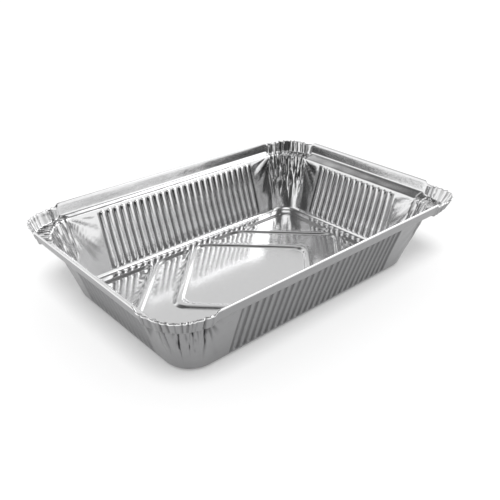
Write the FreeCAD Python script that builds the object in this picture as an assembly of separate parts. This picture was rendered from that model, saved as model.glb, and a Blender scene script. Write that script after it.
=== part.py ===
import FreeCAD, Part
import math
import os

# A foil food tray, pressed from one sheet of aluminium.
# All sizes are in millimetres. The origin is in the middle of the underside,
# X runs along the tray, Y across it and Z up.

# The base, measured where the walls would meet the table
base_length = 253.8
base_width = 158.1

# The foil, drawn about twice as thick as it is
sheet = 0.2

# Side walls: how far they lean out for each millimetre that they rise
long_wall_lean = 0.33
short_wall_lean = 0.31

# Ledge on which a lid lies, from the wall to the foot of the upstand
ledge_height = 57.0
ledge_rise = 0.5
side_ledge = 6.9
end_ledge = 9.2

# How much lower the wall ends on the short sides, where the ledge slopes up to the upstand
end_ledge_dip = 2.4

# Upstand round the ledge, and the rolled hem along its top
upstand_height = 11.0
upstand_flare = 2.4
hem_width = 1.5
hem_depth = 1.7
hem_rounding = 0.5

# Bends between the floor, the walls and the ledge
floor_bend = 2.0
floor_bend_knee = 0.6
ledge_bend = 1.0

# Corner radii, seen from above
base_corner = 21.5
wall_top_corner = 31.0
upstand_corner = 37.5

# Crimped corners: pleats, and how far each flange leans out past the straight upstand
pleats_per_corner = 11
rim_pleat = 0.7
wall_pleat = 1.0
low_wall_pleat = 0.25
pleat_fade_height = 22.0
corner_drop = 2.4
rear_right_flare = 3.0
rear_left_flare = 3.5
front_left_flare = 2.0
front_right_flare = 8.0
foot_flare_share = 0.5

# Upright flutes pressed into the walls, as many as fit between the plain ends
flute_pitch = 7.0
long_wall_plain_end = 17.0
short_wall_plain_end = 11.5
flute_width = 5.4
flute_tip_width = 2.6
flute_depth = 1.3
flute_foot_height = 3.6
flute_top_height = 54.0
flute_end_run = 2.0

# Panels pressed down into the floor, which leave ribs round two diamonds between them
panel_depth = 1.5
panel_edge_run = 3.0
panel_margin = 8.5
panel_corner = 6.0
vertex_corner = 10.0
rib_top_width = 3.2
inner_diamond_end = 3.0
outer_diamond_clearance = 0.8

# How far the root of a pressing form reaches past the face that it starts from
form_root = 0.1


def vector(x, y, z):
    return FreeCAD.Vector(x, y, z)


def side_positions(count, pitch):
    """Even positions along a side, either side of its middle."""
    return [(i - (count - 1) / 2) * pitch for i in range(count)]


# The sheet, as rings of points that follow its section


def crimp_weight(share):
    """Grows quickly from nothing at a corner's ends to one along its middle."""
    return min(1.0, 4.0 * share, 4.0 * (1.0 - share))


def flare_weight(share):
    """Grows gently from nothing at a corner's ends to one at its very middle."""
    return math.sin(math.pi * share) ** 3


def ring(half_x, half_y, radius, height, pleat=0.0, flare_share=0.0, drop=0.0, dip=0.0):
    """Points round a rounded rectangle, shaped in its corners and dipping along its short sides."""
    corners = [
        (1, 1, rear_right_flare),
        (-1, 1, rear_left_flare),
        (-1, -1, front_left_flare),
        (1, -1, front_right_flare),
    ]
    steps = 2 * pleats_per_corner
    points = []
    for turn, (side_x, side_y, flare) in enumerate(corners):
        centre_x = side_x * (half_x - radius)
        centre_y = side_y * (half_y - radius)
        for step in range(steps + 1):
            share = step / steps
            swing = crimp_weight(share) * (pleat if step % 2 else -pleat)
            reach = radius + swing + flare_weight(share) * flare * flare_share
            angle = math.radians(90 * (turn + share))
            x = centre_x + reach * math.cos(angle)
            y = centre_y + reach * math.sin(angle)
            z = height - crimp_weight(share) * drop - dip * math.cos(angle) ** 2
            points.append(vector(x, y, z))
    return points


def wall_size(height):
    """Half length and half width of the wall's outer face at a height."""
    half_x = base_length / 2 + short_wall_lean * height
    half_y = base_width / 2 + long_wall_lean * height
    return half_x, half_y


def wall_corner(height):
    """Corner radius of the wall at a height."""
    return base_corner + (wall_top_corner - base_corner) * height / ledge_height


def wall_ring(height, inset=0.0, rise=0.0, pleat=0.0, dip=0.0):
    """A ring of the wall, moved in and up, which dips along the short sides."""
    half_x = wall_size(height - dip)[0] - inset
    half_y = wall_size(height)[1] - inset
    corner = wall_corner(height) - inset
    return ring(half_x, half_y, corner, height + rise, pleat, dip=dip)


def rim_ring(outset, height, flare_share=1.0):
    """A ring of the upstand, by its outset from the foot of the upstand's outer face."""
    wall_x, wall_y = wall_size(ledge_height)
    half_x = wall_x + end_ledge + outset
    half_y = wall_y + side_ledge + outset
    corner = upstand_corner - upstand_flare + outset
    return ring(half_x, half_y, corner, height, rim_pleat, flare_share, corner_drop)


def outer_rings():
    """The underside and outside of the sheet, from the floor up and over the hem."""
    foot = ledge_height + ledge_rise
    top = foot + upstand_height
    hem_foot = top - hem_depth
    under_hem = upstand_flare * (hem_foot - foot) / upstand_height
    hem_side = upstand_flare + hem_width - sheet
    return [
        wall_ring(panel_depth, inset=floor_bend),
        wall_ring(panel_depth + floor_bend_knee, inset=floor_bend_knee),
        wall_ring(panel_depth + floor_bend),
        wall_ring(pleat_fade_height, pleat=low_wall_pleat),
        wall_ring(ledge_height - ledge_bend, pleat=wall_pleat, dip=end_ledge_dip),
        wall_ring(ledge_height, inset=-ledge_bend, pleat=wall_pleat / 2, dip=end_ledge_dip),
        rim_ring(0.0, foot, foot_flare_share),
        rim_ring(under_hem, hem_foot),
        rim_ring(hem_side, hem_foot + hem_rounding),
        rim_ring(hem_side, top - hem_rounding),
        rim_ring(hem_side - hem_rounding, top),
    ]


def inner_rings():
    """The upper and inner side of the sheet, from the hem down to the floor."""
    foot = ledge_height + ledge_rise
    top = foot + upstand_height
    lean_angle = math.atan((long_wall_lean + short_wall_lean) / 2)
    wall_in = sheet * math.cos(lean_angle)
    wall_up = sheet * math.sin(lean_angle)
    bend_in = sheet * math.sqrt(0.5)
    return [
        rim_ring(upstand_flare - sheet, top - sheet),
        rim_ring(-sheet, foot + sheet, foot_flare_share),
        wall_ring(ledge_height, bend_in - ledge_bend, sheet, wall_pleat / 2, end_ledge_dip),
        wall_ring(ledge_height - ledge_bend, wall_in, wall_up, wall_pleat, end_ledge_dip),
        wall_ring(pleat_fade_height, wall_in, wall_up, low_wall_pleat),
        wall_ring(panel_depth + floor_bend, wall_in, wall_up),
        wall_ring(panel_depth + floor_bend_knee, floor_bend_knee + bend_in, bend_in),
        wall_ring(panel_depth, floor_bend, sheet),
    ]


def patch(a, b, c, d):
    """One or two flat faces between four points."""
    spread = (b - a).cross(c - a)
    if abs(spread.dot(d - a)) < 1e-7 * max(1.0, spread.Length):
        return [Part.Face(Part.makePolygon([a, b, c, d, a]))]
    return [
        Part.Face(Part.makePolygon([a, b, c, a])),
        Part.Face(Part.makePolygon([a, c, d, a])),
    ]


def solid_through(rings):
    """A closed solid through rings of points, the first and last of them flat."""
    faces = []
    for lower, upper in zip(rings, rings[1:]):
        count = len(lower)
        for i in range(count):
            j = (i + 1) % count
            faces += patch(lower[i], lower[j], upper[j], upper[i])
    for flat in (rings[0], rings[-1]):
        faces.append(Part.Face(Part.makePolygon(flat + flat[:1])))
    shell = Part.makeShell(faces)
    shell.sewShape()
    return Part.makeSolid(shell)


def pressed_blank():
    """The pressed sheet before its flutes and floor panels."""
    return solid_through(outer_rings() + inner_rings())


# Outlines and forms for the flutes and the panels


def inset_outline(points, distance):
    """Moves each side of a flat outline, listed anticlockwise, inwards by a distance."""
    moved = []
    count = len(points)
    for i in range(count):
        before, here, after = points[i - 1], points[i], points[(i + 1) % count]
        first = (here[0] - before[0], here[1] - before[1])
        second = (after[0] - here[0], after[1] - here[1])
        first_size = math.hypot(*first)
        second_size = math.hypot(*second)
        first_in = (-first[1] / first_size, first[0] / first_size)
        second_in = (-second[1] / second_size, second[0] / second_size)
        mitre = distance / (1 + first_in[0] * second_in[0] + first_in[1] * second_in[1])
        moved.append((
            here[0] + mitre * (first_in[0] + second_in[0]),
            here[1] + mitre * (first_in[1] + second_in[1]),
        ))
    return moved


def round_corners(points, radii, steps=3):
    """Replaces each corner of a flat outline by a short tangent arc."""
    rounded = []
    count = len(points)
    for i in range(count):
        before, here, after = points[i - 1], points[i], points[(i + 1) % count]
        back = (before[0] - here[0], before[1] - here[1])
        ahead = (after[0] - here[0], after[1] - here[1])
        back_size = math.hypot(*back)
        ahead_size = math.hypot(*ahead)
        back = (back[0] / back_size, back[1] / back_size)
        ahead = (ahead[0] / ahead_size, ahead[1] / ahead_size)
        half_turn = math.acos(back[0] * ahead[0] + back[1] * ahead[1]) / 2
        run = min(radii[i] / math.tan(half_turn), 0.45 * back_size, 0.45 * ahead_size)
        start = (here[0] + back[0] * run, here[1] + back[1] * run)
        end = (here[0] + ahead[0] * run, here[1] + ahead[1] * run)
        for step in range(steps + 1):
            t = step / steps
            rounded.append((
                (1 - t) ** 2 * start[0] + 2 * t * (1 - t) * here[0] + t ** 2 * end[0],
                (1 - t) ** 2 * start[1] + 2 * t * (1 - t) * here[1] + t ** 2 * end[1],
            ))
    return rounded


def pressed_form(outline_at, edge_run, height):
    """A flat-topped boss whose sides slope in evenly, with its root below its foot."""
    root_run = edge_run * form_root / height
    root = [vector(x, y, -form_root) for x, y in outline_at(-root_run)]
    top = [vector(x, y, height) for x, y in outline_at(edge_run)]
    return solid_through([root, top])


def pressed_pair(outline_at, edge_run, height):
    """The hollow under a boss and the boss itself, one sheet apart all over."""
    slope = math.hypot(edge_run, height)
    spread = sheet * (slope - edge_run) / height
    hollow = pressed_form(outline_at, edge_run, height)
    boss = pressed_form(lambda inset: outline_at(inset - spread), edge_run, height)
    boss.translate(vector(0, 0, sheet))
    return hollow, boss


# Flutes in the walls


def flute_outline(length, inset):
    """A flute's outline, tapered at both ends, with its length along Y."""
    half_width = flute_width / 2 - inset
    half_length = length / 2 - inset
    shoulder = half_length - flute_end_run + inset
    return [
        (half_width / 2, half_length),
        (-half_width / 2, half_length),
        (-half_width, shoulder),
        (-half_width, -shoulder),
        (-half_width / 2, -half_length),
        (half_width / 2, -half_length),
        (half_width, -shoulder),
        (half_width, shoulder),
    ]


def flute_count(wall_length, plain_end):
    """How many flutes fit on a wall between its corners and their plain ends."""
    straight_run = wall_length - 2 * base_corner
    return int((straight_run - 2 * plain_end) / flute_pitch)


def flutes(count, half_size, lean, top_height, turns):
    """Hollows and bosses of all flutes on the two walls that face each other."""
    slope = math.hypot(1.0, lean)
    length = (top_height - flute_foot_height) * slope
    middle_height = (top_height + flute_foot_height) / 2
    edge_run = (flute_width - flute_tip_width) / 2
    pair = pressed_pair(lambda inset: flute_outline(length, inset), edge_run, flute_depth)
    tilt = 90 - math.degrees(math.atan(lean))
    hollows = []
    bosses = []
    for turn in turns:
        for place in side_positions(count, flute_pitch):
            for form, kept in zip(pair, (hollows, bosses)):
                copy = form.copy()
                copy.rotate(vector(0, 0, 0), vector(1, 0, 0), tilt)
                copy.translate(vector(place, half_size + lean * middle_height, middle_height))
                copy.rotate(vector(0, 0, 0), vector(0, 0, 1), turn)
                kept.append(copy)
    return hollows, bosses


# Panels in the floor


def panel_reach():
    """Half length and half width of the field that holds the floor's panels."""
    return base_length / 2 - panel_margin, base_width / 2 - panel_margin


def rib_edges(middle):
    """Where the two edges of a rib's top cross the X axis."""
    half_width = rib_top_width / 2 * math.sqrt(2)
    return middle - half_width, middle + half_width


def inner_rib():
    """Where the inner diamond's rib crosses the X axis."""
    return panel_reach()[1] + inner_diamond_end + rib_top_width


def outer_rib():
    """Where the outer diamond's rib crosses the X axis."""
    return panel_reach()[0] - outer_diamond_clearance + rib_top_width / 2 * math.sqrt(2)


def middle_panel():
    """The inner diamond, cut off along the tray's long sides."""
    across = panel_reach()[1]
    tip = rib_edges(inner_rib())[0]
    along = tip - across
    corners = [
        (tip, 0),
        (along, across),
        (-along, across),
        (-tip, 0),
        (-along, -across),
        (along, -across),
    ]
    soft = [vertex_corner, panel_corner, panel_corner] * 2
    return round_corners(corners, soft)


def chevron_panel():
    """The band between the two diamonds, on the right of the tray."""
    across = panel_reach()[1]
    inside = rib_edges(inner_rib())[1]
    outside = rib_edges(outer_rib())[0]
    corners = [
        (outside, 0),
        (outside - across, across),
        (inside - across, across),
        (inside, 0),
        (inside - across, -across),
        (outside - across, -across),
    ]
    soft = [vertex_corner, panel_corner, panel_corner] * 2
    return round_corners(corners, soft)


def corner_panel():
    """The panel outside the outer diamond, in the right rear corner."""
    along, across = panel_reach()
    inside = rib_edges(outer_rib())[1]
    corners = [
        (along, inside - along),
        (along, across),
        (inside - across, across),
    ]
    soft = [panel_corner, base_corner - panel_margin, panel_corner]
    return round_corners(corners, soft)


def mirrored(outline, flip_x, flip_y):
    """The outline in another quarter of the tray, still listed anticlockwise."""
    turned = [(x * flip_x, y * flip_y) for x, y in outline]
    if flip_x * flip_y < 0:
        turned.reverse()
    return turned


def floor_panels():
    """Hollows and bosses of all panels, turned over so that they point down."""
    outlines = [middle_panel()]
    outlines += [mirrored(chevron_panel(), flip, 1) for flip in (1, -1)]
    for flip_x in (1, -1):
        for flip_y in (1, -1):
            outlines.append(mirrored(corner_panel(), flip_x, flip_y))
    hollows = []
    bosses = []
    for outline in outlines:
        pair = pressed_pair(lambda inset: inset_outline(outline, inset), panel_edge_run, panel_depth)
        for form, kept in zip(pair, (hollows, bosses)):
            turned = form.mirror(vector(0, 0, sheet / 2), vector(0, 0, 1))
            turned.translate(vector(0, 0, panel_depth))
            kept.append(turned)
    return hollows, bosses


def build_tray():
    tray = pressed_blank()
    hollows, bosses = floor_panels()
    long_count = flute_count(base_length, long_wall_plain_end)
    short_count = flute_count(base_width, short_wall_plain_end)
    short_flute_top = flute_top_height - end_ledge_dip
    rows = [
        flutes(long_count, base_width / 2, long_wall_lean, flute_top_height, (0, 180)),
        flutes(short_count, base_length / 2, short_wall_lean, short_flute_top, (90, 270)),
    ]
    for row_hollows, row_bosses in rows:
        hollows += row_hollows
        bosses += row_bosses
    return tray.fuse(bosses).cut(hollows).removeSplitter()


os.makedirs("parts", exist_ok=True)
foil_tray = build_tray()
foil_tray.exportStep("parts/foil_tray.step")
print("valid", foil_tray.isValid(), "solids", len(foil_tray.Solids), "faces", len(foil_tray.Faces))
print("volume", round(foil_tray.Volume, 1), "box", foil_tray.BoundBox)
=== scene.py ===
"""A pressed foil food tray with fluted walls, a ribbed floor and crimped corners."""

import logging
import math
from dataclasses import dataclass, field
from enum import IntEnum

import bpy
import numpy as np
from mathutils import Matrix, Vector
from mathutils.geometry import delaunay_2d_cdt

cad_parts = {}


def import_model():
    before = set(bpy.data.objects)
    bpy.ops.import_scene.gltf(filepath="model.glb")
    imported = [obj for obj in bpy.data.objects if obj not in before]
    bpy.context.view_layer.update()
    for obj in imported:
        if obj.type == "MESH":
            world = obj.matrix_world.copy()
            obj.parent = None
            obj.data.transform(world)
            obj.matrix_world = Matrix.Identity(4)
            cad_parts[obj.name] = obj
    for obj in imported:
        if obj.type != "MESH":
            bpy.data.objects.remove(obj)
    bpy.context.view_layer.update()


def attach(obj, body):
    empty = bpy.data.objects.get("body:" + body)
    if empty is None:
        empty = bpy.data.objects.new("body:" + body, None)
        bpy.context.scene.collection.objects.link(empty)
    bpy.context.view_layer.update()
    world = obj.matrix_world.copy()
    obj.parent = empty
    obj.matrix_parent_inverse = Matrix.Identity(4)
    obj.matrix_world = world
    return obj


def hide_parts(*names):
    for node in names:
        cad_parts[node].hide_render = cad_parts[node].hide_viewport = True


LOG = logging.getLogger("foil_tray")
MM = 0.001
QUARTER_TURN = math.pi / 2

Pairs = tuple[tuple[float, float], ...]
Triple = tuple[float, float, float]
ColumnRow = tuple[int, float, float, float, bool, bool]
Socket = bpy.types.NodeSocket


class Zone(IntEnum):
    """The stretches of the sheet's section, from the floor outwards."""

    FOOT = 0
    WALL = 1
    LEDGE = 2
    UPSTAND = 3
    HEM = 4


class Side(IntEnum):
    """The sides in order round the tray, each after the corner of the same number."""

    FAR_LONG = 0
    NEAR_SHORT = 1
    NEAR_LONG = 2
    FAR_SHORT = 3

    @property
    def is_long(self) -> bool:
        """Whether the side runs along the tray."""
        return self in (Side.FAR_LONG, Side.NEAR_LONG)


@dataclass(frozen=True)
class TraySizes:
    """The tray's driving sizes, in millimetres."""

    base_length: float = 253.8
    base_width: float = 158.1
    sheet: float = 0.15
    long_wall_lean: float = 0.33
    short_wall_lean: float = 0.31
    ledge_height: float = 57.0
    ledge_rise: float = 0.5
    side_ledge: float = 6.9
    end_ledge: float = 9.2
    end_dip: float = 2.4
    end_dip_start: float = 22.0
    end_dip_full: float = 56.0
    upstand_height: float = 11.0
    upstand_flare: float = 2.4
    base_corner: float = 21.5
    wall_top_corner: float = 31.0
    upstand_corner: float = 37.5
    corner_drop: float = 2.4
    flute_pitch: float = 7.0
    long_wall_flutes: int = 25
    short_wall_flutes: int = 13
    flute_half_width: float = 2.75
    flute_slope: float = 1.4
    flute_depth: float = 1.65
    flute_foot: float = 3.6
    flute_top: float = 54.8
    floor_bend: float = 2.0
    panel_depth: float = 1.5
    panel_slope: float = 3.0
    panel_margin: float = 8.5
    panel_corner: float = 7.0
    panel_field_corner: float = 13.0
    vertex_softness: float = 8.5
    inner_rib: float = 76.8
    outer_rib: float = 119.9
    rib_top: float = 3.2

    @property
    def mouth(self) -> tuple[float, float]:
        """Half length and half width of the walls at the ledge."""
        half_x = self.base_length / 2 + self.short_wall_lean * self.ledge_height
        return half_x, self.base_width / 2 + self.long_wall_lean * self.ledge_height

    @property
    def upstand_foot(self) -> Triple:
        """Half length, half width and corner radius of the upstand's foot."""
        half_x, half_y = self.mouth
        return half_x + self.end_ledge, half_y + self.side_ledge, self.upstand_corner - self.upstand_flare

    @property
    def foot_height(self) -> float:
        """Height of the upstand's foot."""
        return self.ledge_height + self.ledge_rise

    @property
    def top(self) -> float:
        """Height of the hem's crown."""
        return self.foot_height + self.upstand_height


def smooth(value: np.ndarray) -> np.ndarray:
    """Eases a share from nothing to one."""
    share = np.clip(value, 0.0, 1.0)
    return share * share * (3.0 - 2.0 * share)


def soft_min(a: np.ndarray, b: np.ndarray, width: float) -> np.ndarray:
    """The lesser of two distances, rounded where they meet."""
    share = np.clip(0.5 + 0.5 * (b - a) / width, 0.0, 1.0)
    return b + (a - b) * share - width * share * (1.0 - share)


def ripple(u: np.ndarray, v: np.ndarray, seed: float) -> np.ndarray:
    """A gentle irregular swell, the sum of five waves that cross each other.

    Args:
        u: First place of each point, in swells.
        v: Second place of each point, in swells.
        seed: Which of many such swells.

    Returns:
        A value for each point, mostly between minus one and one.
    """
    swell = np.zeros_like(u)
    for step in range(5):
        turn = seed * 1.7 + step * 2.399
        pace = 1.0 + 0.37 * step
        swell += np.sin(pace * (u * math.cos(turn) + v * math.sin(turn)) + seed * (step + 1.3))
    return swell / 3.2


@dataclass
class Columns:
    """The upright lines of the sheet, in order round the tray.

    The stops are the places of the lines within each flute's pitch.
    """

    size: TraySizes
    corner_steps: int = 64
    end_steps: int = 11
    flute_stops: tuple[float, ...] = (0.0, 0.85, 1.55, 2.25, 3.5, 4.75, 5.45, 6.15)
    stops_kept_above: tuple[float, ...] = (0.0, 3.5)
    side: np.ndarray = field(init=False)
    place: np.ndarray = field(init=False)
    run: np.ndarray = field(init=False)
    share: np.ndarray = field(init=False)
    is_corner: np.ndarray = field(init=False)
    kept_above: np.ndarray = field(init=False)
    is_fluted: np.ndarray = field(init=False)

    def __post_init__(self) -> None:
        """Lists the columns of each corner and of the side that follows it."""
        rows: list[ColumnRow] = []
        for side in Side:
            for step in range(self.corner_steps + 1):
                rows.append((side, 0.0, 0.0, step / self.corner_steps, True, True))
            rows += self._side_rows(side)
        table = np.array(rows, dtype=float)
        self.side = table[:, 0].astype(int)
        self.place, self.run, self.share = table[:, 1:4].T
        self.is_corner = table[:, 4] > 0.5
        self.kept_above = table[:, 5] > 0.5
        self.is_fluted = ~self.is_corner & (self.run == 0.0)

    def __len__(self) -> int:
        """How many columns there are."""
        return len(self.side)

    def _side_rows(self, side: Side) -> list[ColumnRow]:
        """The columns of one straight side, from its corner to the next.

        Args:
            side: Which side.

        Returns:
            For each column its side, its place along it, how far it lies towards
            the corner, its share round a corner, whether it belongs to a corner, and
            whether it goes on above the flutes.
        """
        size = self.size
        count = size.long_wall_flutes if side.is_long else size.short_wall_flutes
        half = (count + 1) / 2 * size.flute_pitch
        places, kept = [], []
        for flute in range(count + 1):
            for stop in self.flute_stops:
                places.append(flute * size.flute_pitch - half + stop)
                kept.append(stop in self.stops_kept_above)
        places.append(half)
        kept.append(True)
        sense = -1 if side < Side.NEAR_LONG else 1
        ends = [1.0 - step / self.end_steps for step in range(1, self.end_steps)]
        head = [(side, -sense * half, share, 0.0, False, True) for share in ends]
        body = [(side, sense * place, 0.0, 0.0, False, keep) for place, keep in zip(places, kept)]
        tail = [(side, sense * half, share, 0.0, False, True) for share in reversed(ends)]
        return head + body + tail


@dataclass
class Section:
    """The sheet's section as rows from the floor to the end of the hem.

    Each row of the table is a half length, a half width, a corner radius, a height,
    a share of the way across the ledge, and a dip on the short sides. The pairs of
    foot_bend are insets and rises, those of upstand are outsets and rises, and those
    of hem are outsets and distances below the top.
    """

    size: TraySizes
    skin: float = 0.1
    foot_bend: Pairs = ((2.0, 0.1), (1.2, 0.25), (0.6, 0.65), (0.18, 1.3))
    low_wall: tuple[float, ...] = (3.6, 4.4, 5.4, 7.4)
    high_wall: tuple[float, ...] = (49.8, 51.6, 52.8, 53.6, 54.4, 55.4, 56.2)
    middle_start: float = 10.0
    middle_step: float = 2.9
    middle_rows: int = 14
    rows_on_flutes: tuple[int, ...] = (2, 6, 10)
    ledge_shares: tuple[float, ...] = (0.16, 0.4, 0.66, 0.88)
    ledge_bend: float = 0.9
    upstand: Pairs = (
        (-0.75, 0.12), (-0.1, 0.5), (0.2, 1.6), (0.75, 4.0), (1.3, 6.4), (1.75, 8.4),
    )
    hem: Pairs = (
        (2.15, 0.75), (2.5, 0.16), (3.1, 0.1), (3.58, 0.75), (3.2, 1.5), (2.65, 1.3),
    )
    zones: list[Zone] = field(default_factory=list)
    table: list[tuple[float, ...]] = field(default_factory=list)
    corner_rows: list[int] = field(default_factory=list)

    def __post_init__(self) -> None:
        """Walks the section from the floor to the end of the hem."""
        size = self.size
        for inset, rise in self.foot_bend:
            self._wall_row(Zone.FOOT, size.panel_depth, inset + self.skin, rise)
        for height in self.low_wall:
            self._wall_row(Zone.WALL, height, self.skin, 0.0)
        for step in range(self.middle_rows):
            if step not in self.rows_on_flutes:
                self.corner_rows.append(len(self.zones))
            self._wall_row(Zone.WALL, self.middle_start + self.middle_step * step, self.skin, 0.0)
        for height in self.high_wall:
            self._wall_row(Zone.WALL, height, self.skin, 0.0)
        self._wall_row(Zone.LEDGE, size.ledge_height, -0.15, -0.25)
        self._wall_row(Zone.LEDGE, size.ledge_height, -self.ledge_bend, 0.06)
        for share in self.ledge_shares:
            self._ledge_row(share)
        for outset, rise in self.upstand:
            self._rim_row(Zone.UPSTAND, outset, size.foot_height + rise)
        for outset, down in self.hem:
            self._rim_row(Zone.HEM, outset, size.top - down)

    def _dip(self, height: float) -> float:
        """How much lower the short walls lie than the long ones.

        Args:
            height: Height on the long walls.

        Returns:
            The difference, which grows from the middle of the wall upwards.
        """
        size = self.size
        share = (height - size.end_dip_start) / (size.end_dip_full - size.end_dip_start)
        return size.end_dip * min(1.0, max(0.0, share))

    def _wall_half(self, height: float) -> Triple:
        """Size of the wall's outline at a height.

        Args:
            height: Height on the long walls.

        Returns:
            Its half length, half width and corner radius.
        """
        size = self.size
        widening = size.wall_top_corner - size.base_corner
        corner = size.base_corner + widening * height / size.ledge_height
        half_x = size.base_length / 2 + size.short_wall_lean * (height - self._dip(height))
        half_y = size.base_width / 2 + size.long_wall_lean * height
        return half_x, half_y, corner

    def _wall_row(self, zone: Zone, height: float, inset: float, rise: float) -> None:
        """Adds a row that follows the wall.

        Args:
            zone: The stretch that it belongs to.
            height: Height on the long walls.
            inset: How far it is moved in from there.
            rise: How far it is moved up from there.
        """
        half_x, half_y, corner = self._wall_half(height)
        outline = (half_x - inset, half_y - inset, corner - inset)
        self.zones.append(zone)
        self.table.append((*outline, height + rise, 0.0, self._dip(height)))

    def _ledge_row(self, share: float) -> None:
        """Adds a row at a share of the way across the ledge.

        Args:
            share: Nothing at the wall, one at the upstand.
        """
        size = self.size
        near = [half + self.ledge_bend for half in self._wall_half(size.ledge_height)]
        far = [half + self.upstand[0][0] for half in size.upstand_foot]
        outline = [a + (b - a) * share for a, b in zip(near, far)]
        height = size.ledge_height + 0.1 + size.ledge_rise * share
        self.zones.append(Zone.LEDGE)
        self.table.append((*outline, height, share, size.end_dip * (1.0 - share)))

    def _rim_row(self, zone: Zone, outset: float, height: float) -> None:
        """Adds a row of the upstand or the hem.

        Args:
            zone: Upstand or hem.
            outset: How far it lies outside the upstand's foot.
            height: Its height.
        """
        outline = [half + outset for half in self.size.upstand_foot]
        self.zones.append(zone)
        self.table.append((*outline, height, 1.0, 0.0))


@dataclass
class Cells:
    """Vertices of the sheet by column and row, and where a smooth tray has them."""

    size: TraySizes
    columns: Columns
    section: Section
    column: np.ndarray
    row: np.ndarray
    zone: np.ndarray = field(init=False)
    height: np.ndarray = field(init=False)
    ledge_share: np.ndarray = field(init=False)
    dip: np.ndarray = field(init=False)
    side: np.ndarray = field(init=False)
    share: np.ndarray = field(init=False)
    is_long: np.ndarray = field(init=False)
    is_corner: np.ndarray = field(init=False)
    is_plain: np.ndarray = field(init=False)
    along: np.ndarray = field(init=False)
    out_x: np.ndarray = field(init=False)
    out_y: np.ndarray = field(init=False)
    x: np.ndarray = field(init=False)
    y: np.ndarray = field(init=False)
    nearest_corner: np.ndarray = field(init=False)
    from_corner: np.ndarray = field(init=False)

    def __post_init__(self) -> None:
        """Looks up each vertex's row and column and works out its place."""
        table = np.array(self.section.table)[self.row]
        half_x, half_y, corner, self.height, self.ledge_share, self.dip = table.T
        self.zone = np.array(self.section.zones, dtype=int)[self.row]
        self.side = self.columns.side[self.column]
        self.share = self.columns.share[self.column]
        self.is_corner = self.columns.is_corner[self.column]
        self.is_plain = self.is_corner | (self.columns.run[self.column] > 0)
        self.is_long = self.side % 2 == 0
        angle = QUARTER_TURN * (self.side + np.where(self.is_corner, self.share, 1.0))
        self.out_x, self.out_y = np.cos(angle), np.sin(angle)
        straight_half = np.where(self.is_long, half_x, half_y) - corner
        self._run_along(straight_half)
        corner_x = np.array([1, -1, -1, 1])[self.side] * (half_x - corner) + corner * self.out_x
        corner_y = np.array([1, 1, -1, -1])[self.side] * (half_y - corner) + corner * self.out_y
        side_x = np.where(self.is_long, self.along, self.out_x * half_x)
        side_y = np.where(self.is_long, self.out_y * half_y, self.along)
        self.x = np.where(self.is_corner, corner_x, side_x)
        self.y = np.where(self.is_corner, corner_y, side_y)

    @property
    def is_wall(self) -> np.ndarray:
        """Which vertices lie on the leaning walls."""
        return self.zone == Zone.WALL

    @property
    def is_ledge(self) -> np.ndarray:
        """Which vertices lie on the ledge."""
        return self.zone == Zone.LEDGE

    @property
    def is_rim(self) -> np.ndarray:
        """Which vertices lie on the upstand or the hem."""
        return self.zone >= Zone.UPSTAND

    def corner_weight(self, sharpness: float) -> np.ndarray:
        """One inside the corners, easing to nothing at their ends."""
        to_end = np.minimum(self.share, 1.0 - self.share)
        return np.where(self.is_corner, smooth(to_end * sharpness), 0.0)

    def _run_along(self, straight_half: np.ndarray) -> None:
        """Works out the places along the sides and the distances from the corners.

        Args:
            straight_half: Half the length of each vertex's straight stretch.
        """
        place = self.columns.place[self.column]
        run = self.columns.run[self.column]
        reach = np.abs(place)
        stretched = np.sign(place) * (reach + run * (straight_half - reach))
        self.along = np.where(run > 0, stretched, place)
        leading = np.sign(place) == np.where(self.side < Side.NEAR_LONG, 1.0, -1.0)
        radius = self.size.wall_top_corner
        past_corner = np.maximum(straight_half - np.abs(self.along), 0.0)
        beside = (QUARTER_TURN / 2 * radius + past_corner) * np.where(leading, 1.0, -1.0)
        arc = (self.share - 0.5) * QUARTER_TURN * radius
        self.from_corner = np.where(self.is_corner, arc, beside)
        self.nearest_corner = np.where(self.is_corner | leading, self.side, (self.side + 1) % 4)


@dataclass(frozen=True)
class Flutes:
    """The rows of upright flutes that are pressed into the walls."""

    size: TraySizes
    end_taper: float = 2.0
    # How strong the painted shade of the grooves is on the near short wall.
    near_short_groove_shade: float = 0.3

    def press(self, cells: Cells) -> tuple[np.ndarray, np.ndarray]:
        """How the flutes move the wall.

        Args:
            cells: The vertices.

        Returns:
            How far each vertex is pressed inwards, and how deep it lies in a groove
            between two flutes, from nothing to one, which is darkened as painted shade.
        """
        size = self.size
        side, along, height = cells.side, cells.along, cells.height
        count = np.where(cells.is_long, size.long_wall_flutes, size.short_wall_flutes)
        # Each flute is round in plan at its upper end and tapers longer at its foot.
        number = np.rint(along / size.flute_pitch)
        across = along - number * size.flute_pitch
        half = size.flute_half_width
        low, high = size.flute_foot + self.end_taper * half, size.flute_top - half
        past = np.maximum(np.maximum((low - height) / self.end_taper, height - high), 0.0)
        share = smooth((half - np.hypot(across, past)) / size.flute_slope)
        worn = 0.92 + 0.08 * np.sin(number * 2.1 + side)
        on_side = ~cells.is_corner & (cells.zone < Zone.LEDGE)
        in_row = on_side & (np.abs(number) <= (count - 1) / 2 + 0.01)
        depth = np.where(in_row, size.flute_depth * worn * share, 0.0)
        between = on_side & (np.abs(along) < (count / 2 + 0.25) * size.flute_pitch)
        start = smooth((height - size.flute_foot - 0.6) / 1.5)
        end = smooth((size.flute_top - 0.2 - height) / 1.4)
        # The grooves between the flutes are marked for painted shade, weaker on the near short wall.
        sharpness = np.where(side == Side.NEAR_SHORT, self.near_short_groove_shade, 1.0)
        groove = smooth((0.58 - share) / 0.4) * start * end * sharpness
        return depth, np.where(between, groove, 0.0)


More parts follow.
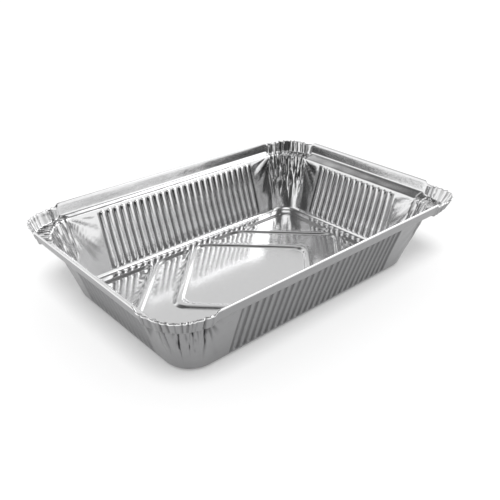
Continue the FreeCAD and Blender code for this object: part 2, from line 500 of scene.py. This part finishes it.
@dataclass(frozen=True)
class CornerCrimp:
    """The pleats, creases and crumples of the corners, which differ from one to the next."""

    size: TraySizes
    pleats: int = 11
    flares: tuple[float, float, float, float] = (3.0, 3.5, 2.0, 8.0)
    creases_each_way: int = 5
    crease_depth: float = 0.85
    crumple_depth: float = 0.46
    swell_depth: float = 0.22

    def pleat(self, cells: Cells) -> tuple[np.ndarray, np.ndarray, np.ndarray]:
        """How the pleats fold the sheet, irregular in width, depth and length.

        Args:
            cells: The vertices.

        Returns:
            The outset and the lift of each vertex, and how far it is tucked in, from
            nothing to one, which sets the painted shade in the tucks.
        """
        share, height, across = cells.share, cells.height, cells.ledge_share
        seed = cells.nearest_corner * 1.9 + 0.7
        # The pleats are spaced unevenly and waver on their way up the wall.
        drift = 0.04 * np.sin(share * 9.0 + seed * 3.0) + 0.015 * np.sin(share * 23.0 + seed)
        waver = 0.12 * np.sin(height / 6.0 + seed * 4.0 + share * 8.0)
        phase = self.pleats * (share + drift) + waver
        number = np.floor(phase)
        middle = np.abs(phase - number - 0.5)
        tuck = 1.0 - smooth(middle / (0.26 + 0.08 * np.sin(number * 3.1 + seed)))
        # Each pleat has its own length: the long ones start near the floor.
        length = 0.5 + 0.5 * np.sin(number * 2.63 + seed * 5.0)
        down_wall = smooth((height - 36.0 + 30.0 * length) / (20.0 + 10.0 * length))
        bulge = np.sin(math.pi * (phase - number)) - 0.5
        folded = 0.7 * bulge - (1.3 + 0.7 * length) * tuck
        # On the ledge the pleats turn into the zigzag of the rim, which leans in a little.
        rim = self._rim(phase, number, middle, seed)
        strength = np.where(cells.is_wall, down_wall * folded, 0.0)
        strength = np.where(cells.is_ledge, (1.0 - across) * folded + across * 0.5 * rim, strength)
        strength = np.where(cells.is_rim, 0.85 * rim - 0.4, strength)
        strength = np.where(cells.zone == Zone.HEM, 0.85 * rim - 0.6, strength) - 0.12
        raised = np.where(cells.is_ledge, (0.25 + 0.75 * across) * rim, 0.0)
        raised = np.where(cells.is_rim, 0.4 * rim + 0.12 * np.sin(phase * 9.0 + seed), raised)
        # Painted shade: the tucks of the pleats and the hollows of the rim's zigzag are marked to be
        # darkened.
        tucked = np.where(cells.is_wall, down_wall * tuck, 0.0)
        tucked = np.where(cells.is_ledge, 0.8 * smooth(-rim), tucked)
        tucked = np.where(cells.is_rim, 0.9 * smooth(0.1 - rim * 1.2), tucked)
        weight = cells.corner_weight(8.0)
        return weight * strength, weight * raised, weight * tucked

    def _rim(self, phase: np.ndarray, number: np.ndarray, middle: np.ndarray, seed: np.ndarray) -> np.ndarray:
        """The zigzag of the pleats where they end at the rim.

        Args:
            phase: Place round the corner, in pleats.
            number: Which pleat.
            middle: Distance from the pleat's middle, in pleats.
            seed: Which corner, as a seed.

        Returns:
            The zigzag, mostly between minus one and one.
        """
        uneven = 0.7 + 0.5 * np.sin(number * 2.2 + seed * 7.0)
        saw = 2.0 * np.abs((phase * 1.5 + 0.2) % 1.0 - 0.5) - 0.5
        fine = np.sin(phase * 13.0 + 2.0 * np.sin(phase * 2.3 + seed))
        return (middle * 4.0 - 1.0) * uneven + 0.5 * saw + 0.3 * fine

    def crease(self, cells: Cells) -> np.ndarray:
        """Creases that fan out from the top of a corner, and the crumples in the corner.

        Args:
            cells: The vertices.

        Returns:
            The outset of each vertex.
        """
        height, from_corner = cells.height, cells.from_corner
        away = np.abs(from_corner)
        # The fan stays clear of the corner's middle and of the ledge.
        fan = self._fan(cells.nearest_corner, from_corner, height)
        fan = fan * smooth((away - 15.0) / 5.0) * smooth((56.5 - height) / 3.0)
        # Crumples fill the corner, and a slow swell goes on along the plain wall beside it.
        rough = 1.0 - np.abs(ripple(from_corner / 2.4, height / 6.0, 7.0)) * 2.0
        rough = rough + 0.6 * ripple(from_corner / 1.5, height / 3.2, 11.0)
        in_corner = smooth((24.0 - away) / 7.0) * smooth((height - 12.0) / 22.0)
        owner = cells.nearest_corner
        swell = ripple(from_corner / 9.0 + owner, height / 13.0 - owner, 6.0)
        beside = smooth((48.0 - away) / 10.0) * smooth((height - 5.0) / 12.0)
        beside = beside * smooth((self.size.ledge_height - height) / 6.0)
        outset = self.crumple_depth * in_corner * rough + self.swell_depth * beside * swell
        outset = outset - self.crease_depth * fan
        return np.where(cells.is_plain & cells.is_wall, outset, 0.0)

    def _fan(self, owner: np.ndarray, from_corner: np.ndarray, height: np.ndarray) -> np.ndarray:
        """The fan of creases on both sides of a corner.

        Args:
            owner: Which corner.
            from_corner: Distance along the wall from the corner's middle.
            height: Height on the tray.

        Returns:
            The depth of the creases, up to about one.
        """
        seed = owner * 2.3 + np.where(from_corner > 0, 0.0, 5.1)
        out = np.maximum(np.abs(from_corner) - 17.0, 0.0)
        down = np.maximum(58.0 - height, 0.0)
        far = np.hypot(out, down)
        angle = np.arctan2(down, out + 0.001)
        fan = np.zeros_like(far)
        for step in range(self.creases_each_way):
            middle = 0.22 + 0.27 * step + 0.07 * np.sin(seed * 3.0 + step * 2.0)
            reach = 9.0 + 5.0 * np.sin(seed + step * 2.4) ** 2
            fade = (far / reach) * np.exp(1.0 - far / reach)
            line = np.exp(-(((angle - middle) / 0.09) ** 2))
            fan += line * fade * (0.7 + 0.3 * np.sin(seed * 5.0 + step))
        return fan

    def flare(self, cells: Cells) -> np.ndarray:
        """How far the rim leans out round each corner.

        Args:
            cells: The vertices.

        Returns:
            The outset of each vertex.
        """
        flare = np.array(self.flares)[cells.side] * np.sin(np.pi * cells.share) ** 3
        upwards = np.clip(0.5 + (cells.height - self.size.foot_height) / 18.0, 0.5, 1.0)
        weight = np.where(cells.is_rim, upwards, np.where(cells.is_ledge, 0.5 * cells.ledge_share, 0.0))
        return np.where(cells.is_corner, flare * weight, 0.0)

    def drop(self, cells: Cells) -> np.ndarray:
        """How much lower the rim lies round each corner than on the sides."""
        weight = np.where(cells.is_rim, 1.0, np.where(cells.is_ledge, cells.ledge_share, 0.0))
        return cells.corner_weight(20.0) * self.size.corner_drop * weight


@dataclass(frozen=True)
class FloorRelief:
    """The floor's height: panels pressed down, with ribs and a rim band between them."""

    size: TraySizes
    swell: float = 0.035
    fine_swell: float = 0.012

    def _inside(self, x: np.ndarray, y: np.ndarray) -> np.ndarray:
        """How far a point lies inside the nearest panel.

        Args:
            x: Places along the tray.
            y: Places across it.

        Returns:
            The distance from the top edge of the panel's slope, below nothing outside.
        """
        size = self.size
        away_x, away_y = np.abs(x), np.abs(y)
        tip = size.vertex_softness
        far = away_x + np.where(away_y < tip, y * y / (2 * tip) + tip / 2, away_y)
        half_rib = size.rib_top / 2
        inner = (far - size.inner_rib) / math.sqrt(2)
        outer = (far - size.outer_rib) / math.sqrt(2)
        along = size.base_length / 2 - size.panel_margin
        across = size.base_width / 2 - size.panel_margin
        edge = across - away_y
        round_x = away_x - (along - size.panel_field_corner)
        round_y = away_y - (across - size.panel_field_corner)
        arc = size.panel_field_corner - np.hypot(np.maximum(round_x, 0.0), np.maximum(round_y, 0.0))
        in_arc = (round_x > 0) & (round_y > 0)
        field_edge = np.where(in_arc, arc, np.minimum(along - away_x, edge))
        soft = size.panel_corner
        middle = soft_min(-inner - half_rib, edge, soft)
        chevron = soft_min(soft_min(inner - half_rib, -outer - half_rib, soft), edge, soft)
        corner = soft_min(outer - half_rib, field_edge, soft)
        return np.maximum(np.maximum(middle, chevron), corner)

    def height(self, x: np.ndarray, y: np.ndarray) -> np.ndarray:
        """Height of the floor's middle surface.

        Args:
            x: Places along the tray.
            y: Places across it.

        Returns:
            The height of each point.
        """
        size = self.size
        share = smooth(self._inside(x, y) / size.panel_slope)
        swell = self.swell * ripple(x / 17.0, y / 17.0, 3.0)
        swell = swell + self.fine_swell * ripple(x / 5.0, y / 5.0, 8.0)
        return 0.1 + size.panel_depth * (1.0 - share) + (swell + 0.05) * share

    def busy(self, x: np.ndarray, y: np.ndarray) -> np.ndarray:
        """Where the floor slopes, so that it needs close points."""
        inside = self._inside(x, y)
        return (inside > -1.3) & (inside < self.size.panel_slope + 0.9)


@dataclass
class PressedSheet:
    """The whole tray, one sheet from the floor to the hem."""

    size: TraySizes
    name: str = "foil_tray_sheet"
    fine_step: float = 1.08
    coarse_step: float = 4.2
    wall_swell: float = 0.16
    rim_swell: float = 0.10
    ledge_swell: float = 0.13
    smooth_angle: float = 75.0
    obj: bpy.types.Object = field(init=False)

    def build(self) -> bpy.types.Object:
        """Makes the sheet and gives it its thickness.

        Returns:
            The finished object.
        """
        columns, section = Columns(self.size), Section(self.size)
        self.obj = self._loom(columns, section)
        ring = self._shape(columns, section)
        self._join(self._floor(ring))
        self._thicken()
        return self.obj

    def _loom(self, columns: Columns, section: Section) -> bpy.types.Object:
        """A tube with a vertex for each row and column, before it is shaped.

        Args:
            columns: The upright lines.
            section: The rows.

        Returns:
            The tube, without the columns and rows that a stretch doesn't need.
        """
        bpy.ops.object.select_all(action="DESELECT")
        bpy.ops.mesh.primitive_circle_add(vertices=len(columns), radius=1.0, fill_type="NOTHING")
        obj = bpy.context.object
        obj.name = self.name
        obj.data.name = self.name
        bpy.ops.object.mode_set(mode="EDIT")
        bpy.ops.mesh.select_all(action="SELECT")
        for _ in range(len(section.table) - 1):
            bpy.ops.mesh.extrude_region_move(TRANSFORM_OT_translate={"value": (0.0, 0.0, 1.0)})
        bpy.ops.object.mode_set(mode="OBJECT")
        self._thin_out(obj, columns, section)
        return obj

    def _grid(self, obj: bpy.types.Object, count: int) -> tuple[np.ndarray, np.ndarray]:
        """The column and the row of each vertex of the tube.

        Args:
            obj: The tube.
            count: How many columns it has.

        Returns:
            The column numbers and the row numbers.
        """
        flat = np.empty(len(obj.data.vertices) * 3)
        obj.data.vertices.foreach_get("co", flat)
        points = flat.reshape(-1, 3)
        angle = np.arctan2(-points[:, 0], points[:, 1])
        column = np.rint(angle / (2 * math.pi) * count).astype(int) % count
        return column, np.rint(points[:, 2]).astype(int)

    def _thin_out(self, obj: bpy.types.Object, columns: Columns, section: Section) -> None:
        """Takes out the columns that only the flutes need, and the rows that only the corners need.

        Args:
            obj: The tube.
            columns: The upright lines.
            section: The rows.
        """
        column, row = self._grid(obj, len(columns))
        above_flutes = section.zones.index(Zone.LEDGE) + 2
        spare = (~columns.kept_above[column]) & (row >= above_flutes)
        idle = columns.is_fluted[column] & np.isin(row, section.corner_rows)
        pairs = np.empty(len(obj.data.edges) * 2, dtype=int)
        obj.data.edges.foreach_get("vertices", pairs)
        a, b = pairs.reshape(-1, 2).T
        upright = spare[a] & spare[b] & (column[a] == column[b])
        level = idle[a] & idle[b] & (row[a] == row[b])
        bpy.ops.object.mode_set(mode="EDIT")
        bpy.ops.mesh.select_all(action="DESELECT")
        bpy.ops.mesh.select_mode(type="EDGE")
        bpy.ops.object.mode_set(mode="OBJECT")
        obj.data.edges.foreach_set("select", upright | level)
        bpy.ops.object.mode_set(mode="EDIT")
        bpy.ops.mesh.dissolve_edges(use_verts=True)
        bpy.ops.mesh.select_mode(type="VERT")
        bpy.ops.object.mode_set(mode="OBJECT")

    def _shape(self, columns: Columns, section: Section) -> np.ndarray:
        """Moves every vertex of the tube to its place on the tray.

        Args:
            columns: The upright lines.
            section: The rows.

        Returns:
            The ring where the floor begins, in column order, in millimetres.
        """
        mesh, count = self.obj.data, len(columns)
        cells = Cells(self.size, columns, section, *self._grid(self.obj, count))
        points, folded = self._place(cells)
        mesh.vertices.foreach_set("co", (points * MM).ravel())
        # The fold attribute marks the grooves, tucks and creases for painted shade.
        mesh.attributes.new("fold", "FLOAT", "POINT").data.foreach_set("value", folded)
        mesh.update()
        first_row = Cells(self.size, columns, section, np.arange(count), np.zeros(count, dtype=int))
        return self._place(first_row)[0]

    def _place(self, cells: Cells) -> tuple[np.ndarray, np.ndarray]:
        """Works out where the pressed sheet has each vertex.

        Args:
            cells: The vertices.

        Returns:
            Their places in millimetres, and how sharply each is folded, from nothing
            to one, which sets the painted shade in the folds.
        """
        size, crimp = self.size, CornerCrimp(self.size)
        lean = np.where(cells.is_long, size.long_wall_lean, size.short_wall_lean)
        slant = np.sqrt(1.0 + lean * lean)
        press, groove = Flutes(size).press(cells)
        pleat, raised, tucked = crimp.pleat(cells)
        crease = crimp.crease(cells)
        outset = pleat + crease - press / slant + crimp.flare(cells) + self._swell(cells)
        lift = raised + press * lean / slant - crimp.drop(cells) - cells.dip * cells.out_x**2
        uneven = self.ledge_swell * ripple(cells.x / 6.0, cells.y / 6.0, 9.0)
        lift = lift + np.where(cells.is_ledge, uneven, 0.0)
        x, y = cells.x + outset * cells.out_x, cells.y + outset * cells.out_y
        # Painted shade: grooves, tucks and deep creases are marked to be darkened.
        folded = np.clip(groove + tucked + smooth((-crease - 0.25) / 0.5), 0.0, 1.0)
        return np.stack([x, y, cells.height + lift], axis=1), folded

    def _swell(self, cells: Cells) -> np.ndarray:
        """The slight unevenness of walls and rim.

        Args:
            cells: The vertices.

        Returns:
            The outset of each vertex, which is mostly inwards.
        """
        x, y, height = cells.x, cells.y, cells.height
        uneven = ripple(x / 23.0 + height / 31.0, y / 23.0 - height / 19.0, 5.0) - 1.0
        up_wall = np.clip(height / self.size.ledge_height, 0.0, 1.0)
        depth = np.where(cells.is_wall, self.wall_swell * np.sin(np.pi * up_wall), 0.0)
        depth = np.where(cells.is_rim, self.rim_swell, depth)
        return depth * uneven * np.where(cells.zone == Zone.HEM, 0.6, 1.0)

    def _floor(self, ring: np.ndarray) -> bpy.types.Object:
        """The floor inside the ring, close-set where it slopes.

        Args:
            ring: The floor's edge, in millimetres, in order.

        Returns:
            A mesh object whose edge has the ring's own points.
        """
        relief = FloorRelief(self.size)
        half_x, half_y = np.abs(ring[:, 0]).max(), np.abs(ring[:, 1]).max()
        fine = self._fine_points(relief, half_x, half_y)
        coarse = self._coarse_points(relief, half_x, half_y)
        points = np.concatenate([fine, coarse])
        radius = self.size.base_corner - self.size.floor_bend
        round_x = np.abs(points[:, 0]) - (half_x - radius)
        round_y = np.abs(points[:, 1]) - (half_y - radius)
        in_corner = (round_x > 0) & (round_y > 0)
        from_arc = radius - np.hypot(np.maximum(round_x, 0), np.maximum(round_y, 0))
        inside = np.where(in_corner, from_arc, radius - np.maximum(round_x, round_y))
        flat = np.concatenate([ring[:, :2], points[inside > 0.45]])
        border = list(range(len(ring)))
        verts, _, faces, *_ = delaunay_2d_cdt([Vector(p) for p in flat], [], [border], 1, 1e-5)
        plan = np.array([tuple(v) for v in verts])
        height = relief.height(plan[:, 0], plan[:, 1])
        height[: len(ring)] = ring[:, 2]
        mesh = bpy.data.meshes.new("tray_floor")
        rows = np.column_stack([plan, height]) * MM
        mesh.from_pydata(rows.tolist(), [], [list(face) for face in faces])
        floor = bpy.data.objects.new("tray_floor", mesh)
        bpy.context.collection.objects.link(floor)
        return floor

    def _fine_points(self, relief: FloorRelief, half_x: float, half_y: float) -> np.ndarray:
        """Points in slanting rows that run with the ribs, where the floor slopes.

        Args:
            relief: The floor's relief.
            half_x: Half the floor's length.
            half_y: Half the floor's width.

        Returns:
            The points in plan.
        """
        reach = half_x + half_y
        lines = np.arange(-reach, reach, self.fine_step / math.sqrt(2))
        a, b = np.meshgrid(lines, lines, indexing="ij")
        number = np.arange(len(lines))
        every_second = (number[:, None] + number[None, :]) % 2 == 0
        a, b = a[every_second], b[every_second]
        x, y = (a + b) / math.sqrt(2), (a - b) / math.sqrt(2)
        keep = (np.abs(x) < half_x) & (np.abs(y) < half_y)
        x, y = x[keep], y[keep]
        keep = relief.busy(x, y)
        return np.column_stack([x[keep], y[keep]])

    def _coarse_points(self, relief: FloorRelief, half_x: float, half_y: float) -> np.ndarray:
        """Points of the flat stretches, in staggered rows.

        Args:
            relief: The floor's relief.
            half_x: Half the floor's length.
            half_y: Half the floor's width.

        Returns:
            The points in plan.
        """
        step = self.coarse_step
        lengthways, crossways = np.arange(-half_x, half_x, step), np.arange(-half_y, half_y, step)
        x, y = (places.ravel() for places in np.meshgrid(lengthways, crossways, indexing="ij"))
        y = y + (np.rint(x / step) % 2) * step / 2
        keep = ~relief.busy(x, y) & (np.abs(y) < half_y)
        return np.column_stack([x[keep], y[keep]])

    def _join(self, floor: bpy.types.Object) -> None:
        """Joins the floor to the walls along its edge and turns all faces one way.

        Args:
            floor: The floor's object.
        """
        bpy.ops.object.select_all(action="DESELECT")
        floor.select_set(True)
        self.obj.select_set(True)
        bpy.context.view_layer.objects.active = self.obj
        bpy.ops.object.join()
        bpy.ops.object.mode_set(mode="EDIT")
        bpy.ops.mesh.select_all(action="SELECT")
        bpy.ops.mesh.remove_doubles(threshold=1e-6)
        bpy.ops.mesh.normals_make_consistent(inside=False)
        bpy.ops.object.mode_set(mode="OBJECT")
        # The faces point down and out, so that the sheet's first skin is its outside.
        centre = min(self.obj.data.polygons, key=lambda face: face.center.length)
        if centre.normal.z > 0:
            self.obj.data.flip_normals()

    def _thicken(self) -> None:
        """Gives the sheet its two faces, marks the outer one and shades it smooth."""
        solid = self.obj.modifiers.new("sheet", "SOLIDIFY")
        solid.thickness = self.size.sheet * MM
        solid.offset = 0.0
        bpy.ops.object.select_all(action="DESELECT")
        self.obj.select_set(True)
        bpy.context.view_layer.objects.active = self.obj
        outer = len(self.obj.data.polygons)
        bpy.ops.object.modifier_apply(modifier=solid.name)
        bpy.ops.object.shade_smooth_by_angle(angle=math.radians(self.smooth_angle))
        outside = self.obj.data.attributes.new("outside", "FLOAT", "FACE")
        is_outer = np.arange(len(self.obj.data.polygons)) < outer
        outside.data.foreach_set("value", is_outer.astype(float))

    def dress(self, material: bpy.types.Material) -> None:
        """Gives the sheet its finish and its place in the frame.

        Args:
            material: The foil's material.
        """
        self.obj.data.materials.clear()
        self.obj.data.materials.append(material)
        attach(self.obj, "root")
        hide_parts("foil_tray")


@dataclass(frozen=True)
class NodeDesk:
    """Lays out the nodes of one material or of the world."""

    tree: bpy.types.NodeTree

    def add(self, kind: str, inputs: dict | None = None, **settings: object) -> bpy.types.Node:
        """Adds a node.

        Args:
            kind: The node's type.
            inputs: A value or another node's output for each input, by name or number.
            settings: Values of the node's own settings.

        Returns:
            The node.
        """
        node = self.tree.nodes.new(kind)
        for name, value in settings.items():
            setattr(node, name, value)
        for key, value in (inputs or {}).items():
            if isinstance(value, Socket):
                self.tree.links.new(value, node.inputs[key])
            else:
                node.inputs[key].default_value = value
        return node

    def math(self, operation: str, a: Socket, b: Socket) -> Socket:
        """The outcome of one step of arithmetic."""
        return self.add("ShaderNodeMath", {0: a, 1: b}, operation=operation).outputs["Value"]

    def span(self, value: Socket, low: float, high: float) -> Socket:
        """A value from nothing to one, spread between two bounds."""
        inputs = {"Value": value, "To Min": low, "To Max": high}
        return self.add("ShaderNodeMapRange", inputs).outputs["Result"]

    def ramp(self, value: Socket, tones: Pairs) -> Socket:
        """A ramp of grey tones.

        Args:
            value: Where on the ramp.
            tones: Each stop's place and tone.

        Returns:
            The ramp's colour.
        """
        ramp = self.add("ShaderNodeValToRGB", {"Fac": value})
        stops = ramp.color_ramp.elements
        for number, (place, tone) in enumerate(tones):
            stop = stops[number] if number < 2 else stops.new(place)
            stop.position = place
            stop.color = (tone, tone, tone, 1.0)
        return ramp.outputs["Color"]


@dataclass(frozen=True)
class FoilFinish:
    """Rolled foil, bright inside and satin outside, with fine drawing lines and small dents; the outside's
    darker colour and the darker folds are painted shade.
    """

    colour: Triple = (0.9, 0.9, 0.905)
    # The outside's colour is darkened as painted shade, besides its satin roughness.
    satin_painted_shade_colour: Triple = (0.31, 0.31, 0.315)
    dent_tone: float = 0.93
    # Tones that darken the folds, inside and outside, as painted shade.
    fold_painted_shade_tone: float = 0.32
    satin_fold_painted_shade_tone: float = 0.4
    roughness: float = 0.13
    satin_roughness: float = 0.3
    line_roughness: float = 0.05
    dent_scale: float = 260.0
    dent_height: float = 0.00025
    line_scale: Triple = (60.0, 2200.0, 60.0)
    line_height: float = 0.0001

    def material(self) -> bpy.types.Material:
        """The foil's material.

        Returns:
            A metal whose roughness and dents vary over the sheet.
        """
        mat = bpy.data.materials.new("rolled_foil")
        mat.use_nodes = True
        desk = NodeDesk(mat.node_tree)
        where = desk.add("ShaderNodeTexCoord").outputs["Object"]
        dent_noise = {"Vector": where, "Scale": self.dent_scale, "Detail": 3.0}
        dents = desk.add("ShaderNodeTexNoise", dent_noise).outputs["Fac"]
        drawn = desk.add("ShaderNodeMapping", {"Vector": where, "Scale": self.line_scale}).outputs["Vector"]
        line_noise = {"Vector": drawn, "Scale": 1.0, "Detail": 2.0}
        lines = desk.add("ShaderNodeTexNoise", line_noise).outputs["Fac"]
        outside = desk.add("ShaderNodeAttribute", attribute_name="outside").outputs["Fac"]
        shader = mat.node_tree.nodes["Principled BSDF"]
        shader.inputs["Metallic"].default_value = 1.0
        links = mat.node_tree.links
        links.new(self._normal(desk, dents, lines), shader.inputs["Normal"])
        uneven = desk.span(lines, -self.line_roughness, self.line_roughness)
        rough = desk.span(outside, self.roughness, self.satin_roughness)
        links.new(desk.math("ADD", uneven, rough), shader.inputs["Roughness"])
        links.new(self._tint(desk, dents, outside), shader.inputs["Base Color"])
        return mat

    def _normal(self, desk: NodeDesk, dents: Socket, lines: Socket) -> Socket:
        """The bumps of the dents, with those of the drawing lines over them.

        Args:
            desk: The material's nodes.
            dents: The pattern of the dents.
            lines: The pattern of the drawing lines.

        Returns:
            The surface's normal.
        """
        dent_bump = {"Strength": 0.15, "Distance": self.dent_height, "Height": dents}
        dented = desk.add("ShaderNodeBump", dent_bump).outputs["Normal"]
        line_bump = {"Strength": 0.08, "Distance": self.line_height, "Height": lines, "Normal": dented}
        return desk.add("ShaderNodeBump", line_bump).outputs["Normal"]

    def _tint(self, desk: NodeDesk, dents: Socket, outside: Socket) -> Socket:
        """The colour inside and outside, with painted shade: a darker outside and darker folds.

        Args:
            desk: The material's nodes.
            dents: The pattern of the dents.
            outside: One on the sheet's outer face, nothing on its inner one.

        Returns:
            The surface's colour.
        """
        shades = []
        # The outside's darker colour is painted shade; the dents dim both colours a little.
        for colour in (self.colour, self.satin_painted_shade_colour):
            dull = tuple(self.dent_tone * part for part in colour)
            inputs = {"Factor": dents, "A": (*colour, 1.0), "B": (*dull, 1.0)}
            shades.append(desk.add("ShaderNodeMix", inputs, data_type="RGBA").outputs["Result"])
        sides = {"Factor": outside, "A": shades[0], "B": shades[1]}
        tint = desk.add("ShaderNodeMix", sides, data_type="RGBA").outputs["Result"]
        # Painted shade: the fold attribute darkens the grooves, tucks and creases.
        fold = desk.add("ShaderNodeAttribute", attribute_name="fold").outputs["Fac"]
        tone = desk.span(outside, self.fold_painted_shade_tone, self.satin_fold_painted_shade_tone)
        folds = {"Factor": fold, "A": tint, "B": tone}
        return desk.add("ShaderNodeMix", folds, data_type="RGBA", blend_type="MULTIPLY").outputs["Result"]


@dataclass(frozen=True)
class SoftBox:
    """A soft light patch in the room, which the foil reflects."""

    direction: Triple
    edge: float
    full: float
    tone: float


@dataclass(frozen=True)
class Studio:
    """A pale floor, a soft room, one broad lamp and the camera."""

    lens: float = 45.32
    camera_place: Triple = (-0.3198, -0.3628, 0.2868)
    camera_aim: Triple = (0.0317, 0.03195, 0.0)
    wall_tones: Pairs = ((0.0, 1.0), (1.0, 0.06), (0.64, 1.0), (0.8, 0.16))
    backdrop: Triple = (0.584, 0.656, 0.477)
    backdrop_tones: Pairs = ((0.86, 1.0), (0.97, 0.68))
    dark_side: Triple = (-0.55, -0.8, 0.24)
    side_tones: Pairs = ((0.68, 1.0), (0.86, 0.06))
    soft_boxes: tuple[SoftBox, ...] = (
        SoftBox((0.93, 0.15, 0.32), 0.86, 0.95, 0.8),
        SoftBox((0.6, -0.35, 0.72), 0.94, 0.98, 1.7),
        SoftBox((-0.28, -0.32, 0.906), 0.955, 0.985, 1.1),
        SoftBox((0.2, 0.23, 0.952), 0.972, 0.99, 0.48),
    )
    room_fill: float = 0.62
    lamp_side: Triple = (-0.29, -0.34, 0.9)
    lamp_spread: float = 24.0
    lamp_power: float = 2.2
    floor_size: float = 8.0
    floor_height: float = -0.0002
    floor_tone: float = 0.9
    floor_paleness: float = 0.25

    def build(self) -> None:
        """Makes the floor, the surroundings, the lamp and the camera."""
        self._floor()
        self._world()
        self._lamp()
        self._camera()

    def _floor(self) -> None:
        """A wide pale floor, which is partly lit of itself where it is seen or mirrored."""
        bpy.ops.object.select_all(action="DESELECT")
        place = (0.0, 0.0, self.floor_height)
        bpy.ops.mesh.primitive_grid_add(
            x_subdivisions=2, y_subdivisions=2, size=self.floor_size, location=place
        )
        floor = bpy.context.object
        floor.name = "studio_floor"
        mat = bpy.data.materials.new("pale_floor")
        mat.use_nodes = True
        desk, nodes = NodeDesk(mat.node_tree), mat.node_tree.nodes
        shader = nodes["Principled BSDF"]
        shader.inputs["Base Color"].default_value = (*[self.floor_tone] * 3, 1.0)
        shader.inputs["Roughness"].default_value = 0.9
        path = desk.add("ShaderNodeLightPath").outputs
        seen = desk.math("MAXIMUM", path["Is Camera Ray"], path["Is Glossy Ray"])
        seen = desk.math("MAXIMUM", seen, path["Is Transmission Ray"])
        share = desk.span(seen, 0.0, self.floor_paleness)
        pale = desk.add("ShaderNodeEmission").outputs["Emission"]
        mix = desk.add("ShaderNodeMixShader", {0: share, 1: shader.outputs["BSDF"], 2: pale})
        mat.node_tree.links.new(mix.outputs["Shader"], nodes["Material Output"].inputs["Surface"])
        floor.data.materials.append(mat)

    def _world(self) -> None:
        """A room with pale walls, a dark ceiling, a dark near side and soft light patches."""
        world = bpy.data.worlds.new("soft_room")
        bpy.context.scene.world = world
        world.use_nodes = True
        world.node_tree.nodes.clear()
        desk = NodeDesk(world.node_tree)
        where = desk.add("ShaderNodeTexCoord").outputs["Generated"]
        up = desk.add("ShaderNodeSeparateXYZ", {"Vector": where}).outputs["Z"]
        side = desk.ramp(self._facing(desk, where, self.dark_side), self.side_tones)
        drop = desk.ramp(self._facing(desk, where, self.backdrop), self.backdrop_tones)
        room = desk.math("MULTIPLY", desk.ramp(up, self.wall_tones), side)
        room = desk.math("MULTIPLY", room, drop)
        for box in self.soft_boxes:
            facing = self._facing(desk, where, box.direction)
            patch = {"Value": facing, "From Min": box.edge, "From Max": box.full, "To Max": box.tone}
            lit = desk.add("ShaderNodeMapRange", patch).outputs["Result"]
            room = desk.math("ADD", room, lit)
        diffuse = desk.add("ShaderNodeLightPath").outputs["Is Diffuse Ray"]
        fill = desk.add("ShaderNodeMix", {"Factor": diffuse, "A": room, "B": self.room_fill})
        light = {"Color": (1.0, 1.0, 1.0, 1.0), "Strength": fill.outputs["Result"]}
        shown = desk.add("ShaderNodeBackground", light).outputs["Background"]
        desk.add("ShaderNodeOutputWorld", {"Surface": shown})

    def _facing(self, desk: NodeDesk, where: Socket, direction: Triple) -> Socket:
        """How squarely the room is seen in a given direction.

        Args:
            desk: The world's nodes.
            where: The direction that is looked in.
            direction: The direction that it is set against.

        Returns:
            One where they are the same, less as they part.
        """
        inputs = {0: where, 1: direction}
        return desk.add("ShaderNodeVectorMath", inputs, operation="DOT_PRODUCT").outputs["Value"]

    def _lamp(self) -> None:
        """A broad lamp far above the near side, which reflections don't show."""
        data = bpy.data.lights.new("front_light", "SUN")
        data.angle = math.radians(self.lamp_spread)
        data.energy = self.lamp_power
        lamp = bpy.data.objects.new("front_light", data)
        lamp.location = self.lamp_side
        lamp.visible_glossy = False
        lamp.rotation_euler = (-Vector(self.lamp_side)).to_track_quat("-Z", "Y").to_euler()
        bpy.context.collection.objects.link(lamp)

    def _camera(self) -> None:
        """The camera, where the photograph was taken from."""
        data = bpy.data.cameras.new("camera")
        data.lens = self.lens
        data.sensor_width = 36.0
        data.clip_start = 0.01
        camera = bpy.data.objects.new("camera", data)
        camera.location = self.camera_place
        aim = Vector(self.camera_aim) - Vector(self.camera_place)
        camera.rotation_mode = "QUATERNION"
        camera.rotation_quaternion = aim.to_track_quat("-Z", "Y")
        bpy.context.collection.objects.link(camera)
        bpy.context.scene.camera = camera


def main() -> None:
    """Builds the tray and the studio round it."""
    logging.basicConfig(level=logging.INFO, format="%(message)s")
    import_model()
    sheet = PressedSheet(TraySizes())
    sheet.build()
    sheet.dress(FoilFinish().material())
    triangles = sum(len(face.vertices) - 2 for face in sheet.obj.data.polygons)
    LOG.info("%s: %d triangles", sheet.name, triangles)
    Studio().build()
    bpy.context.scene.view_settings.view_transform = "Standard"


if __name__ == "__main__":
    main()
